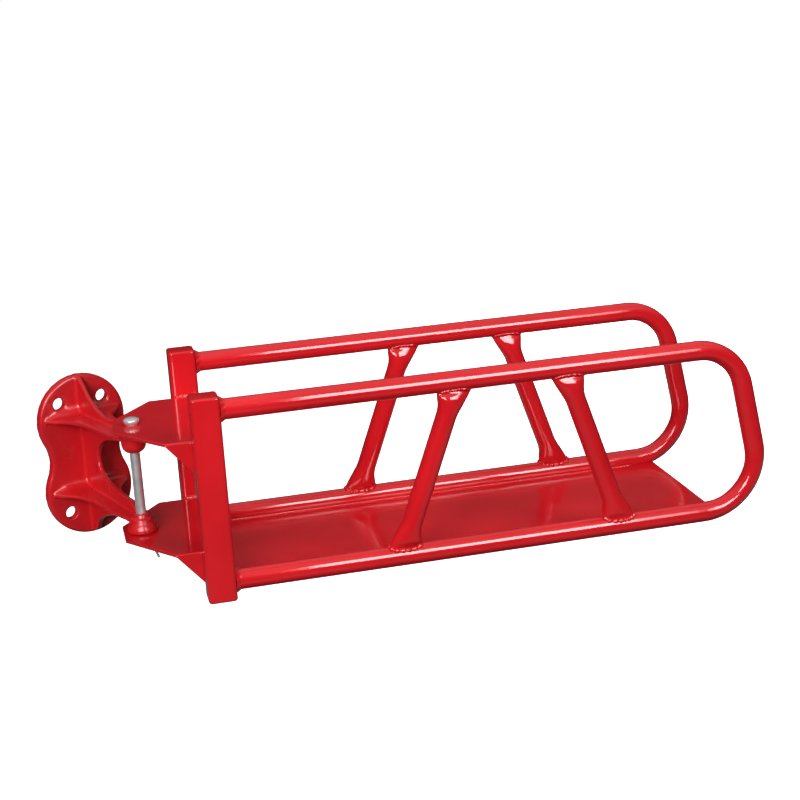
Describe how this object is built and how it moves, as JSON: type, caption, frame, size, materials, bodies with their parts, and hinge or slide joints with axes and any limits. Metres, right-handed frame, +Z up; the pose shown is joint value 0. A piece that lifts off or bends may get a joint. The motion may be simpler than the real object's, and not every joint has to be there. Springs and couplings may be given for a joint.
{
  "type": "swinging fire hose rack",
  "caption": "Wall-mounted swinging hose cradle: two bent-tube side loops over a flat tray, welded to square posts and hinged by plates and a vertical pin on a cast wall bracket.",
  "frame": {"origin": "centre of the four wall bolt holes, on the wall face of the bracket", "axes": "+X along the wall towards the free end of the cradle, +Y into the wall, +Z up"},
  "size_m": [0.8323, 0.5672, 0.2535],
  "materials": {
    "red_enamel": "gloss",
    "red_enamel_weld": "gloss",
    "red_enamel_cast": "gloss",
    "zinc_steel": "satin"
  },
  "bodies": {
    "bracket": {"wall_bracket": "red_enamel_cast"},
    "cradle": {"front_loop_tube": "red_enamel", "rear_loop_tube": "red_enamel", "front_strut_inner": "red_enamel", "front_strut_outer": "red_enamel", "rear_strut_inner": "red_enamel", "rear_strut_outer": "red_enamel", "front_post": "red_enamel", "rear_post": "red_enamel", "front_post_cap_top": "red_enamel", "front_post_cap_bottom": "red_enamel", "rear_post_cap_top": "red_enamel", "rear_post_cap_bottom": "red_enamel", "upper_hinge_plate": "red_enamel", "lower_hinge_plate": "red_enamel", "tray_plate": "red_enamel", "front_loop_welds": "red_enamel_weld", "rear_loop_welds": "red_enamel_weld", "front_strut_welds": "red_enamel_weld", "rear_strut_welds": "red_enamel_weld", "upper_plate_welds": "red_enamel_weld", "lower_plate_welds": "red_enamel_weld", "tray_welds": "red_enamel_weld", "hinge_pin": "zinc_steel", "cotter_pin": "zinc_steel"}
  },
  "joints": [
    {"name": "rack_swing", "type": "hinge", "parent": "bracket", "child": "cradle", "pos_m": [0, -0.158, 0], "axis": [0, 0, 1], "range_deg": [-158.3, 21.7]}
  ]
}
